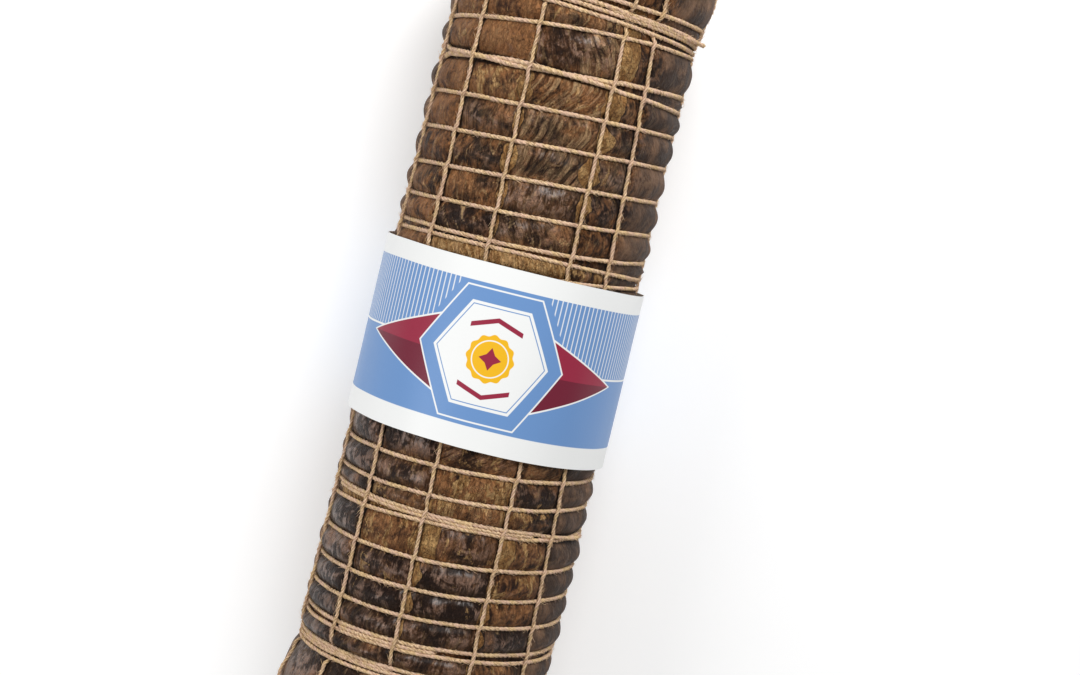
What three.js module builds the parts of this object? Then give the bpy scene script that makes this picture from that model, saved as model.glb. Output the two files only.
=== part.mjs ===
// A whole rolled pancetta, lying on its side: cured belly rolled up in a dried casing and tied with hemp
// twine, with a paper band round its middle. Millimetres, +Z up, the roll runs along X and rests on z = 0.
// A place on the roll is given as along, in mm from the middle of the band towards the top end (+X), and
// turn, in degrees round the roll from its upper side towards -Y.
import * as THREE from "three";
import { mergeVertices } from "three/addons/utils/BufferGeometryUtils.js";

const CLEAR = 0.3; // gap left between neighbouring pieces
const TINY = 0.01; // a small step along a rounded end, to find its slope
const FULL_TURN = 360;

// The roll of meat in its casing.
const ROLL = {
  radius: 65,
  taper: 0.005, // it grows this much thinner with each millimetre towards the top
  rim: 2.6, // how much the bulge at each end stands out
  axisHeight: 66, // the bulges are fatter than this and press flat on the table
  tieDepth: 4.4, // how far a hoop of twine pulls the casing in
  legDepth: 1.4, // how far a lengthwise string presses in
  crest: 4.2, // how far from a hoop the casing has swelled up to its full height
  crestShare: [0.28, 0.42], // the least and most of a gap that this takes
  squeezed: [3.5, 9.5], // in a gap this narrow it stays down, in one this wide it swells up fully
};

// The two ends. The bulge starts and is full at the two places of rim, and the lengthwise strings rise out
// of their grooves between those of lift.
const TOP = { sign: 1, shoulder: 199, tip: 221, rim: [166, 190], lift: [183, 196] };
const TAIL = { sign: -1, shoulder: -189, tip: -211, rim: [166, 185], lift: [173, 186] };
const MIDDLE = (TOP.tip + TAIL.tip) / 2; // the place of the object's own x = 0

// The roll's unevenness: two waves, and three waves, round it, each with its height and how far along the
// roll it turns by one radian. It dies out towards the band, where the roll is an even cylinder.
const WAVE = { two: 0.45, twoTwist: 70, three: 0.35, threeTwist: -45, threeStart: 1, from: 55, full: 90 };

// The shape of the rounded ends.
const DOME = {
  power: 2.6, // 2 is a half ellipse, more is squarer
  steps: [0.25, 0.47, 0.67, 0.85], // rings between the shoulder, 0, and the middle of the end, 1
  dimple: 6, // how far the strings pull in the middle of each end
  dimpleRadius: 19,
};

// The twine hoops. Each groove holds one or more of them side by side. at is a hoop's place on the upper
// side of the roll, rise how much nearer the top it lies at the -Y side, and bow how much nearer the top
// both sides lie.
const HOOP = { diameter: 2.4, steps: 24, slack: 0.5 }; // slack is spare room under it in its groove
const GROOVES = [
  [
    { at: -164.3, rise: 0.4, bow: 0.2 },
    { at: -161.6, rise: 0.4, bow: 0.2 },
    { at: -158.9, rise: 0.4, bow: 0.2 },
  ],
  [
    { at: -148.7, rise: 2, bow: 1 },
    { at: -145, rise: 2.4, bow: 1.5 },
  ],
  [{ at: -131.8, rise: 3, bow: 1.6 }],
  [{ at: -118, rise: 3, bow: 1.6 }],
  [{ at: -102.8, rise: 2.8, bow: 1.4 }],
  [
    { at: -84.2, rise: 1.8, bow: -1.8 },
    { at: -80.9, rise: 0, bow: 0.5 },
  ],
  [{ at: -71.1, rise: 2.7, bow: 1.5 }],
  [{ at: -56.5, rise: 2.4, bow: 1.2 }],
  [{ at: 42.2, rise: 4.7, bow: 0 }],
  [
    { at: 52.6, rise: 0.2, bow: -1.1 },
    { at: 55.6, rise: 2.2, bow: 2.3 },
  ],
  [{ at: 70.7, rise: 2.9, bow: 0.9 }],
  [{ at: 87.8, rise: 3.3, bow: 0.2 }],
  [{ at: 105.3, rise: 3, bow: 0.6 }],
  [{ at: 122.6, rise: 2.1, bow: 0.3 }],
  [
    { at: 139.5, rise: 0, bow: -2 },
    { at: 142.25, rise: 1, bow: 2.2 },
  ],
  [{ at: 163.2, rise: 4, bow: -1.3 }],
  [
    { at: 172.3, rise: -3.6, bow: -0.1 },
    { at: 175.1, rise: -3.4, bow: 0 },
    { at: 177.8, rise: -3.4, bow: 0 },
  ],
  [{ at: 181, rise: -2, bow: 1.2 }],
];

// The casing's pillow between two strings has a corner at each of these shares of the gap.
const PILLOW = { narrow: [0.5], usual: [0.27, 0.73], wide: [0.27, 0.42, 0.58, 0.73] };

// The lengthwise strings, which run over the hoops and over both ends: turn at the middle of the band,
// drift, how much the turn changes over the next 150 mm towards the top, and the pillow beside it.
const LEG = { diameter: 2.2, height: 0.25, overRim: 1.5, end: 0.955 }; // heights of its centre line
const LEGS = [
  { turn: -74, drift: 4, pillow: PILLOW.usual },
  { turn: -44, drift: 0.6, pillow: PILLOW.usual },
  { turn: -13.8, drift: -0.5, pillow: PILLOW.usual },
  { turn: 22.8, drift: 0.7, pillow: PILLOW.usual },
  { turn: 45.6, drift: -5.6, pillow: PILLOW.wide },
  { turn: 100, drift: -1, pillow: PILLOW.narrow },
  { turn: 119, drift: 1.5, pillow: PILLOW.narrow },
  { turn: 137, drift: -1, pillow: PILLOW.narrow },
  { turn: 156, drift: 0, pillow: PILLOW.wide },
  { turn: 204, drift: 0, pillow: PILLOW.usual },
  { turn: 230, drift: 1.2, pillow: PILLOW.usual },
  { turn: 256, drift: -1.2, pillow: PILLOW.usual },
];
const LEG_STOPS = [
  -184, -179, -174, -168, -160, -135, -100, -65, 0, 65, 100, 135, 166, 172, 178, 183, 188, 193,
];

// The knot over the string ends, at each end of the roll.
const KNOT = { radius: 8.5, height: 4.8, sides: 12, rings: 5 };

// The paper band, one strip that laps over its own beginning.
const BAND = {
  width: 90,
  thickness: 0.3,
  innerRadius: 67.2,
  lift: 0.2, // kept clear of the table
  skew: -0.8, // how much nearer the top it lies at the -Y side
  seamTurn: 125,
  lap: 12, // degrees over its own beginning
  climb: [348, 358], // degrees gone round, between which it climbs on to its beginning
  steps: 52,
};

const rad = THREE.MathUtils.degToRad;
const smooth = THREE.MathUtils.smoothstep;
const lerp = THREE.MathUtils.lerp;

// Where a hoop lies along the roll, at a turn.
function hoopAlong({ at, rise, bow }, turn) {
  const s = Math.sin(rad(turn));
  return at + rise * s + bow * s * s;
}

function legTurn(leg, along) {
  return leg.turn + (leg.drift * along) / 150;
}

// From 0 on the roll's side to 1 near its ends, between each end's two places of the given name.
function nearEnds(along, places) {
  return smooth(along, ...TOP[places]) + smooth(-along, ...TAIL[places]);
}

// The radius of the roll before any string bites in.
function formRadius(along, turn) {
  const rim = nearEnds(along, "rim");
  const uneven =
    WAVE.two * Math.sin(rad(2 * turn) + along / WAVE.twoTwist) +
    WAVE.three * Math.sin(rad(3 * turn) + along / WAVE.threeTwist + WAVE.threeStart);
  const outsideBand = smooth(Math.abs(along), WAVE.from, WAVE.full);
  return ROLL.radius - ROLL.taper * along + ROLL.rim * rim + uneven * outsideBand;
}

// A place on a rounded end: k is 0 at the shoulder and 1 in the middle of the end.
function domeForm(end, k, turn) {
  const a = (k * Math.PI) / 2;
  const power = 2 / DOME.power;
  const radius = formRadius(end.shoulder, turn) * Math.max(Math.cos(a), 0) ** power;
  const reach = Math.abs(end.tip - end.shoulder) * Math.sin(Math.abs(a)) ** power;
  const pulled = DOME.dimple * Math.exp(-((radius / DOME.dimpleRadius) ** 2));
  return { along: end.shoulder + end.sign * (reach - pulled), radius };
}

// A point in the object's own frame.
function place(along, radius, turn) {
  const t = rad(turn);
  return new THREE.Vector3(
    along - MIDDLE,
    -radius * Math.sin(t),
    ROLL.axisHeight + radius * Math.cos(t),
  );
}

// The direction that points straight out of the roll's side.
function outward(turn) {
  return new THREE.Vector3(0, -Math.sin(rad(turn)), Math.cos(rad(turn)));
}

// A closed mesh from points and triangles, turned so that its faces point out.
function solid(points, triangles) {
  let volume = 0;
  const across = new THREE.Vector3();
  for (const [a, b, c] of triangles) {
    volume += points[a].dot(across.crossVectors(points[b], points[c]));
  }
  const facing = volume < 0 ? triangles.map(([a, b, c]) => [a, c, b]) : triangles;
  const numbers = points.flatMap((p) => p.toArray());
  const geometry = new THREE.BufferGeometry();
  geometry.setAttribute("position", new THREE.Float32BufferAttribute(numbers, 3));
  geometry.setIndex(facing.flat());
  return geometry;
}

// Two triangles for each cell between two closed rows of a grid, each row with the same count of points.
function rowCells(lower, upper, count) {
  const cells = [];
  for (let i = 0; i < count; i++) {
    const j = (i + 1) % count;
    cells.push([lower + i, lower + j, upper + j]);
    cells.push([lower + i, upper + j, upper + i]);
  }
  return cells;
}

// A section carried along a path. Each point of the path has its place, at, and the way out of the roll,
// out. The section lists its corners as [distance outwards, distance sideways].
function sweep(path, section, closed) {
  const count = path.length;
  const points = path.flatMap(({ at, out }, i) => {
    const before = closed ? (i + count - 1) % count : Math.max(i - 1, 0);
    const after = closed ? (i + 1) % count : Math.min(i + 1, count - 1);
    const run = path[after].at.clone().sub(path[before].at);
    const side = new THREE.Vector3().crossVectors(run, out).normalize();
    const up = new THREE.Vector3().crossVectors(side, run).normalize();
    return section.map(([high, wide]) =>
      at.clone().addScaledVector(up, high).addScaledVector(side, wide),
    );
  });
  const n = section.length;
  const triangles = [];
  for (let i = 0; i < (closed ? count : count - 1); i++) {
    triangles.push(...rowCells(i * n, ((i + 1) % count) * n, n));
  }
  if (!closed) {
    const last = (count - 1) * n;
    for (let i = 1; i < n - 1; i++) {
      triangles.push([0, i + 1, i], [last, last + i, last + i + 1]);
    }
  }
  return solid(points, triangles);
}

// The section of a twine, as a square on its corner.
function twineSection(diameter) {
  const r = diameter / 2;
  return [
    [r, 0],
    [0, r],
    [-r, 0],
    [0, -r],
  ];
}

// The corners round the roll: one under each lengthwise string, where the casing is pressed in, and those of
// the pillow beside it.
function cornersRound(along) {
  return LEGS.flatMap((leg, i) => {
    const turn = legTurn(leg, along);
    const next = LEGS[(i + 1) % LEGS.length];
    const lapped = i + 1 === LEGS.length ? FULL_TURN : 0;
    const gap = legTurn(next, along) + lapped - turn;
    return [
      { turn, press: ROLL.legDepth },
      ...leg.pillow.map((share) => ({ turn: turn + gap * share, press: 0 })),
    ];
  });
}

// The rings of corners along the roll's side, each with its place at a turn and how deep the hoops pull it
// in there.
function sideRings() {
  const full = () => 0;
  const pulled = () => ROLL.tieDepth;
  const rings = [{ along: () => TAIL.shoulder, depth: full, atRim: true }];
  const grooves = GROOVES.map((hoops) => {
    const ends = hoops.length > 1 ? [hoops[0], hoops[hoops.length - 1]] : hoops;
    return ends.map((hoop) => ({
      along: (turn) => hoopAlong(hoop, turn),
      depth: pulled,
    }));
  });
  grooves.push([{ along: () => TOP.shoulder, depth: full, atRim: true }]);
  for (const groove of grooves) {
    const from = rings[rings.length - 1].along;
    const to = groove[0].along;
    const gap = (turn) => to(turn) - from(turn);
    const share = (turn) => THREE.MathUtils.clamp(ROLL.crest / gap(turn), ...ROLL.crestShare);
    const depth = (turn) => ROLL.tieDepth * (1 - smooth(gap(turn), ...ROLL.squeezed));
    rings.push({ along: (turn) => lerp(from(turn), to(turn), share(turn)), depth });
    rings.push({ along: (turn) => lerp(to(turn), from(turn), share(turn)), depth });
    rings.push(...groove);
  }
  return rings;
}

function rollGeometry() {
  const domeRow = (end) => (k) =>
    cornersRound(end.shoulder).map(({ turn }) => {
      const { along, radius } = domeForm(end, k, turn);
      return place(along, radius, turn);
    });
  const sideRow = (ring) =>
    cornersRound(ring.along(0)).map(({ turn, press }) => {
      const along = ring.along(turn);
      const depth = Math.max(ring.depth(turn), ring.atRim ? 0 : press);
      return place(along, formRadius(along, turn) - depth, turn);
    });
  const rows = [
    ...DOME.steps.map(domeRow(TAIL)).reverse(),
    ...sideRings().map(sideRow),
    ...DOME.steps.map(domeRow(TOP)),
  ];
  const around = rows[0].length;
  const triangles = rows
    .slice(1)
    .flatMap((_, i) => rowCells(i * around, (i + 1) * around, around));
  const last = (rows.length - 1) * around;
  const tailPole = rows.length * around;
  for (let i = 0; i < around; i++) {
    const j = (i + 1) % around;
    triangles.push([j, i, tailPole], [last + i, last + j, tailPole + 1]);
  }
  const points = rows.flat();
  for (const end of [TAIL, TOP]) points.push(place(domeForm(end, 1, 0).along, 0, 0));
  for (const p of points) p.z = Math.max(p.z, 0);
  return solid(points, triangles);
}

function hoopGeometry(hoop) {
  // How deep the twine's own centre line lies.
  const depth = ROLL.tieDepth - CLEAR - HOOP.slack - HOOP.diameter / 2;
  const path = [];
  for (let i = 0; i < HOOP.steps; i++) {
    const turn = (i / HOOP.steps) * FULL_TURN;
    const along = hoopAlong(hoop, turn);
    path.push({
      at: place(along, formRadius(along, turn) - depth, turn),
      out: outward(turn),
    });
  }
  return sweep(path, twineSection(HOOP.diameter), true);
}

// A lengthwise string, from the knot on one end to the knot on the other.
function legGeometry(leg) {
  const onDome = (end) => (k) => {
    const turn = legTurn(leg, end.shoulder);
    const onForm = (step) => {
      const { along, radius } = domeForm(end, step, turn);
      return place(along, radius, turn);
    };
    const inwards = onForm(k + TINY).sub(onForm(k - TINY));
    const side = new THREE.Vector3(end.sign, 0, 0).cross(outward(turn));
    const out = side.cross(inwards).normalize();
    return { at: onForm(k).addScaledVector(out, LEG.overRim), out };
  };
  const onSide = (along) => {
    const turn = legTurn(leg, along);
    const height = lerp(LEG.height, LEG.overRim, nearEnds(along, "lift"));
    const radius = formRadius(along, turn) + height;
    return { at: place(along, radius, turn), out: outward(turn) };
  };
  const overEnd = [...DOME.steps, LEG.end];
  const path = [
    ...overEnd.map(onDome(TAIL)).reverse(),
    ...[TAIL.shoulder, ...LEG_STOPS, TOP.shoulder].map(onSide),
    ...overEnd.map(onDome(TOP)),
  ];
  return sweep(path, twineSection(LEG.diameter), false);
}

// Half a flattened ball, flat side towards the roll.
function knotGeometry() {
  const profile = [new THREE.Vector2(0, 0)];
  for (let i = 0; i < KNOT.rings; i++) {
    const a = (i / KNOT.rings) * (Math.PI / 2);
    profile.push(new THREE.Vector2(KNOT.radius * Math.cos(a), KNOT.height * Math.sin(a)));
  }
  profile.push(new THREE.Vector2(0, KNOT.height));
  const lathe = new THREE.LatheGeometry(profile, KNOT.sides);
  lathe.deleteAttribute("normal");
  lathe.deleteAttribute("uv");
  return mergeVertices(lathe, 1e-4);
}

function bandGeometry() {
  const middle = BAND.innerRadius + BAND.thickness / 2;
  const lowest = BAND.lift + BAND.thickness / 2;
  const path = [];
  for (let i = 0; i <= BAND.steps; i++) {
    const gone = (i / BAND.steps) * (FULL_TURN + BAND.lap);
    const turn = BAND.seamTurn + gone;
    const lapped = smooth(gone, ...BAND.climb) * (BAND.thickness + CLEAR);
    const at = place(BAND.skew * Math.sin(rad(turn)), middle + lapped, turn);
    const onTable = at.z < lowest;
    at.z = Math.max(at.z, lowest);
    path.push({ at, out: onTable ? new THREE.Vector3(0, 0, -1) : outward(turn) });
  }
  const t = BAND.thickness / 2;
  const w = BAND.width / 2;
  const section = [
    [t, -w],
    [t, w],
    [-t, w],
    [-t, -w],
  ];
  return sweep(path, section, false);
}

function finish(color, roughness) {
  return new THREE.MeshStandardMaterial({ color, roughness, metalness: 0 });
}

const casing = finish(0x4a3020, 0.45);
const twine = finish(0xc9a878, 0.9);
const paper = finish(0x7da3da, 0.6);

const pancetta = new THREE.Group();

function add(name, geometry, material) {
  const mesh = new THREE.Mesh(geometry, material);
  mesh.name = name;
  pancetta.add(mesh);
  return mesh;
}

function numbered(name, i) {
  return `${name}_${String(i + 1).padStart(2, "0")}`;
}

add("roll", rollGeometry(), casing);
GROOVES.flat().forEach((hoop, i) => add(numbered("hoop", i), hoopGeometry(hoop), twine));
LEGS.forEach((leg, i) => add(numbered("lengthwise", i), legGeometry(leg), twine));
for (const [name, end] of [
  ["knot_tail", TAIL],
  ["knot_top", TOP],
]) {
  const knot = add(name, knotGeometry(), twine);
  const seat = domeForm(end, LEG.end, 0).along + end.sign * (LEG.diameter + 3 * CLEAR);
  knot.rotation.z = (-end.sign * Math.PI) / 2;
  knot.position.set(seat - MIDDLE, 0, ROLL.axisHeight);
}
add("paper_band", bandGeometry(), paper);

export default pancetta;
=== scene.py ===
# A whole rolled pancetta: cured belly rolled up in its dried casing, tied all round and lengthwise with hemp
# twine, with a paper band round its middle. It lies on its side, with the shown side up.
import math
import random

import bmesh
import bpy
from mathutils import Matrix, Vector, noise


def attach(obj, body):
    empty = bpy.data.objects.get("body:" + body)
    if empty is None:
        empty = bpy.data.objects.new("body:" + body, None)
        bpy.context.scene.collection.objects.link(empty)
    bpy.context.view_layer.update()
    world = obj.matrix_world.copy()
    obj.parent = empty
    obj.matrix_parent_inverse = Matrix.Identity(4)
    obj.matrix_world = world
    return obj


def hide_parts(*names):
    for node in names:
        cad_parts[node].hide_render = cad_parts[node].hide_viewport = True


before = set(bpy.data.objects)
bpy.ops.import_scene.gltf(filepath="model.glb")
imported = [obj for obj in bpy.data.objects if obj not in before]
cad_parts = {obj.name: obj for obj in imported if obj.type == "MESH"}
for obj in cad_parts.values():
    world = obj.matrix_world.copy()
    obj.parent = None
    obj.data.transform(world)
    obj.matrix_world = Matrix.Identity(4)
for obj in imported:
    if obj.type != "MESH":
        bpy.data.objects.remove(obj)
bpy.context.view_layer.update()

# Camera
# It looks down on the lying roll, from where the photo was taken of the standing one. The roll leans over to
# the right in the picture.
MM = 0.001
LEAN = math.radians(13.6)
CAMERA_AT = Vector((83, 0, 1106)) * MM
LOOKS_AT = Vector((5.9, -20.5, 66)) * MM
FOCAL_PIXELS = 2035
PHOTO_WIDTH = 1080

lens = bpy.data.cameras.new("camera")
lens.sensor_width = 36
lens.lens = FOCAL_PIXELS / PHOTO_WIDTH * lens.sensor_width
camera = bpy.data.objects.new("camera", lens)
bpy.context.scene.collection.objects.link(camera)
bpy.context.scene.camera = camera

ahead = (LOOKS_AT - CAMERA_AT).normalized()
along_roll = Vector((1, 0, 0))
upright = (along_roll - along_roll.dot(ahead) * ahead).normalized()
aside = ahead.cross(upright)
picture_up = upright * math.cos(LEAN) - aside * math.sin(LEAN)
picture_right = ahead.cross(picture_up)
facing = Matrix((picture_right, picture_up, -ahead)).transposed().to_4x4()
camera.matrix_world = Matrix.Translation(CAMERA_AT) @ facing

# Roll in its casing
# Cured belly rolled up in a dried, smoked casing. It was tied while fresh, so it bulges out between the
# strings like pillows, and every string lies in a furrow where the skin gathers into lengthwise folds.
MIDDLE = 5  # mm along the roll, from the middle of the band to the object's x = 0
AXIS_HEIGHT = 66
RADIUS = 65
TAPER = 0.005
UNEVEN = (0.45, 0.35)  # how far it is out of round, as two waves and as three waves round it
UNEVEN_FROM = (55, 90)  # how far from the band's middle that begins and is full
RIM = 2.6  # how much the bulge at each end stands out
TOP = {"sign": 1, "shoulder": 199, "tip": 221, "rim": (166, 190), "lift": (183, 196)}
TAIL = {"sign": -1, "shoulder": -189, "tip": -211, "rim": (166, 185), "lift": (173, 186)}
DOME_POWER = 2.6
DIMPLE = 6
DIMPLE_RADIUS = 19
FURROW = 3.6  # depth of the casing under a hoop
PILLOW = 9  # how far from a hoop the casing has swelled up to its full height
SQUEEZED = (3.5, 9.5)  # in a gap this narrow it stays down, in one this wide it swells up fully
END_CALM = 9  # over this length its folds and lumps fade out towards a rounded end
COLUMNS = 352
DOME_ROWS = 24
ROW_STEP = 1.36
EDGE_STEP = 1.5  # next to the band
EDGE_ROWS = (9, 3)  # below it and above it
HIDDEN_STEP = 9  # under the band
HIDDEN_ROWS = 9
FRONT_DENSITY = 27  # degrees by which the columns crowd towards the upper side
BAND_HALF = 45

# The hoops from the tail up: where each lies along the roll on its upper side, how much nearer the top it
# lies at the -Y side, and how much nearer the top both sides lie. Those on one line share a furrow.
HOOPS = [
    (-164.3, 0.4, 0.2), (-161.6, 0.4, 0.2), (-158.9, 0.4, 0.2),
    (-148.7, 2, 1), (-145, 2.4, 1.5),
    (-131.8, 3, 1.6),
    (-118, 3, 1.6),
    (-102.8, 2.8, 1.4),
    (-84.2, 1.8, -1.8), (-80.9, 0, 0.5),
    (-71.1, 2.7, 1.5),
    (-56.5, 2.4, 1.2),
    (42.2, 4.7, 0),
    (52.6, 0.2, -1.1), (55.6, 2.2, 2.3),
    (70.7, 2.9, 0.9),
    (87.8, 3.3, 0.2),
    (105.3, 3, 0.6),
    (122.6, 2.1, 0.3),
    (139.5, 0, -2), (142.25, 1, 2.2),
    (163.2, 4, -1.3),
    (172.3, -3.6, -0.1), (175.3, -3.4, 0), (177.6, -3.4, 0),
    (181, -2, 1.2),
]
LAST_GAP = len(HOOPS)  # a gap has the number of the hoop below it, and gap 0 lies below the first hoop
# The lengthwise strings: turn round the roll at its middle, and how much that changes over DRIFT_LENGTH mm
# towards the top.
STRINGS = [
    (-74, 4), (-44, 0.6), (-13.8, -0.5), (22.8, 0.7), (45.6, -5.6), (100, -1),
    (119, 1.5), (137, -1), (156, 0), (204, 0), (230, 1.2), (256, -1.2),
]
DRIFT_LENGTH = 150
# Between these places the lengthwise strings run under the heavy bundles of hoops. The last number is how
# much nearer the top that is at the -Y side.
UNDER_BUNDLES = [(-165, -158.5, 0.4), (172, 178, -3.5)]
UNDER_SOFT = 3.5  # mm over which they go under
# Dry pale flaps of skin beside the strings: by number of the gap between hoops and of the string on its left,
# how far they reach from that string and from the next one.
FLAPS = {
    (25, 3): (9, 0),
    (22, 2): (1.5, 0), (22, 3): (10, 0),
    (21, 2): (1.5, 0), (21, 3): (11, 0),
    (19, 1): (0, 3), (19, 2): (4.5, 4), (19, 3): (9.5, 0),
    (18, 1): (0, 2.5), (18, 2): (3, 2), (18, 3): (7, 0),
    (17, 1): (0, 5), (17, 2): (4, 7), (17, 3): (4.5, 0),
    (16, 1): (0, 2), (16, 2): (3.5, 4), (16, 3): (4, 0),
    (15, 2): (3, 1.5), (15, 3): (2.5, 0),
    (11, 2): (1, 3),
    (10, 2): (3, 2),
    (8, 1): (0, 4), (8, 2): (10, 0), (8, 3): (9, 0),
    (7, 2): (7, 2), (7, 3): (2, 0),
    (6, 2): (5.5, 3), (6, 3): (4, 2),
    (5, 2): (3.5, 0), (5, 3): (3, 0),
    (3, 2): (0, 2),
}
STRAIGHT_FLAP = 7.5  # from this width they run on from hoop to hoop; smaller ones are shaped like leaves
FLAP_HEIGHT = 0.35
# The skin in the cells on the upper side, by the same two numbers: how warm brown it is, how much it is
# gathered into broad folds and into thin pale lines, how much dry tan there is, how glossy it is, and how
# much the folds lean.
SKIN = {
    (25, 1): (0.6, 0.2, 0.3, 0.2, 0, 0), (25, 2): (0.3, 0.6, 0.6, 0.5, 0, 0.3),
    (25, 3): (0.5, 0.3, 0.2, 0.3, 0, 0),
    (22, 0): (0.8, 0.1, 0.3, 0.25, 0, 0), (22, 1): (0.95, 0, 0.2, 0.2, 0, 0),
    (22, 2): (0.1, 0.3, 1, 0.2, 0.4, 0.1),
    (21, 0): (0.8, 0.1, 0.3, 0.25, 0, 0), (21, 1): (1, 0, 0.2, 0.15, 0, 0),
    (21, 2): (0.3, 0, 0.4, 0, 0.8, 0.5),
    (19, 0): (0.8, 0.1, 0.3, 0.2, 0.1, 0), (19, 1): (0.5, 0.2, 0.3, 0.5, 0, 0.4),
    (19, 2): (0.2, 1, 0, 0.4, 0, -0.7),
    (18, 0): (0.8, 0, 0.2, 0.2, 0.1, 0), (18, 1): (-0.1, 0.2, 0.3, 0.1, 0.6, 0),
    (18, 2): (0.1, 0.7, 0.4, 0.1, 0.5, -0.2),
    (17, 0): (0, 0, 0.3, 0.1, 0.3, 0), (17, 1): (-0.3, 0.1, 0.8, 0.1, 0.4, 0),
    (17, 2): (0.2, 0.6, 0.4, 0, 0.6, -0.4),
    (16, 0): (0.1, 0.2, 0.4, 0.3, 0, 0), (16, 1): (-0.2, 0.1, 0.7, 0.1, 0.4, 0.1),
    (16, 2): (0.2, 0.1, 0.3, 0, 1, 0),
    (15, 0): (0.2, 0.1, 0.4, 0.1, 0.2, 0), (15, 1): (0.1, 0, 0.9, 0, 0.6, 0.5),
    (15, 2): (0.1, 0.2, 0.9, 0, 0.7, 0.6),
    (13, 0): (0.3, 0.3, 0.2, 0.4, 0, 0), (13, 1): (0.4, 0.4, 0, 0.8, 0, 0.5),
    (13, 2): (0.4, 0.3, 0, 1, 0, 0.3), (13, 3): (0.2, 0.1, 0.2, 0.5, 0.2, 0),
    (12, 0): (0, 0, 0.1, 0, 1, 0), (12, 1): (0.1, 0, 0.2, 0, 1, 0),
    (12, 2): (0.2, 0, 0.1, 0.3, 0.6, 0),
    (11, 0): (-0.3, 0, 0.1, 0, 1, 0), (11, 1): (0, 0, 0.2, 0.1, 1, 0),
    (11, 2): (0.3, 0.1, 0, 0.5, 0.3, 0), (11, 3): (0.2, 0, 0.3, 0.2, 0.6, 0.3),
    (10, 0): (-0.1, 0, 0.1, 0.1, 0.8, 0), (10, 1): (0.1, 0.1, 0, 0.3, 0.7, 0),
    (10, 2): (0.3, 0.3, 0, 0.5, 0.2, 0), (10, 3): (0.2, 0.1, 0.2, 0.4, 0.4, 0.4),
    (9, 0): (0.5, 0, 0, 1, 0, 0), (9, 1): (0.5, 0, 0, 0.9, 0, 0),
    (8, 0): (-0.4, 0, 0.1, 0, 1, 0), (8, 1): (0.8, 0, 0, 0.35, 0.2, 0),
    (8, 2): (0.2, 0, 0, 0.3, 0.7, 0), (8, 3): (0.7, 0.1, 0.1, 0.5, 0.1, -0.5),
    (7, 0): (-0.2, 0, 0.1, 0.1, 0.9, 0), (7, 1): (0.2, 0, 0, 0.25, 0.8, 0),
    (7, 2): (0.1, 0, 0, 0, 1, 0), (7, 3): (0.8, 0, 0, 0.4, 0, 0),
    (6, 0): (-0.4, 0, 0, 0, 1, 0), (6, 1): (0, 0, 0.1, 0.15, 1, 0),
    (6, 2): (0.1, 0, 0, 0.2, 0.9, 0), (6, 3): (0.4, 0, 0, 0.2, 0.3, 0),
    (5, 0): (-0.4, 0, 0, 0, 1, 0), (5, 1): (0, 0, 0.2, 0.1, 1, -0.3),
    (5, 2): (0, 0, 0.2, 0.1, 1, 0), (5, 3): (0.1, 0, 0.1, 0, 0.8, 0),
    (3, 0): (-0.3, 0, 0.1, 0, 1, 0), (3, 1): (0, 0, 0.2, 0.1, 1, 0),
    (3, 2): (0.1, 0, 0.2, 0.1, 1, 0), (3, 3): (0.1, 0.1, 0.2, 0.3, 0.5, 0),
    (0, 0): (-0.2, 0.1, 0.2, 0, 0.9, 0.2), (0, 1): (0.1, 0.1, 0.3, 0.2, 0.8, 0.2),
    (0, 2): (0.1, 0.1, 0.3, 0.2, 0.8, -0.2),
}
SIDE_COLUMN = 4  # the outermost one on the right, where the skin is alike from hoop to hoop
SIDE_SKIN = (-0.2, 0, 0.2, 0.05, 0.5, 0)
# Where the tables say nothing, these six traits and then the two flaps lie between such numbers.
CHANCES = [
    (-0.2, 0.4), (-0.3, 0.4), (-0.1, 0.5), (-0.1, 0.35), (0.1, 0.8), (-0.5, 0.5), (-3, 1.6), (-3, 1.6),
]
SWELL = 0.35  # mm by which a cell swells up more or less than others, at most
TONE = 0.5  # how much lighter or darker than others it is, at most
DARK_COLUMNS = (3, 4)  # right of these strings the skin is darker, on the right of the upper side
DARKER = 0.8


def ease(x, low, high):
    """0 below low, 1 above high, and a smooth rise between them."""
    t = min(max((x - low) / (high - low), 0), 1)
    return t * t * (3 - 2 * t)


def bump(x, middle, width):
    return math.exp(-(((x - middle) / width) ** 2))


def hoop_along(hoop, turn):
    at, rise, bow = hoop
    s = math.sin(math.radians(turn))
    return at + rise * s + bow * s * s


def string_turn(string, along):
    turn, drift = string
    return turn + drift * along / DRIFT_LENGTH


def form_radius(along, turn):
    """The roll's radius before any string bites in."""
    rim = ease(along, *TOP["rim"]) + ease(-along, *TAIL["rim"])
    t = math.radians(turn)
    two, three = UNEVEN
    uneven = two * math.sin(2 * t + along / 70) + three * math.sin(3 * t - along / 45 + 1)
    return RADIUS - TAPER * along + RIM * rim + uneven * ease(abs(along), *UNEVEN_FROM)


def dome_form(end, k, turn):
    """Along and radius on a rounded end: k is 0 at the shoulder and 1 in the middle of the end."""
    a = k * math.pi / 2
    power = 2 / DOME_POWER
    radius = form_radius(end["shoulder"], turn) * max(math.cos(a), 0) ** power
    reach = abs(end["tip"] - end["shoulder"]) * math.sin(abs(a)) ** power
    pulled = DIMPLE * math.exp(-((radius / DIMPLE_RADIUS) ** 2))
    return end["shoulder"] + end["sign"] * (reach - pulled), radius


def place(along, radius, turn):
    t = math.radians(turn)
    return Vector((along - MIDDLE, -radius * math.sin(t), AXIS_HEIGHT + radius * math.cos(t))) * MM


SHARP = math.radians(50)  # the edges of a wall that bend more than this stay sharp
MERGE = 0.001  # mm


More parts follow.
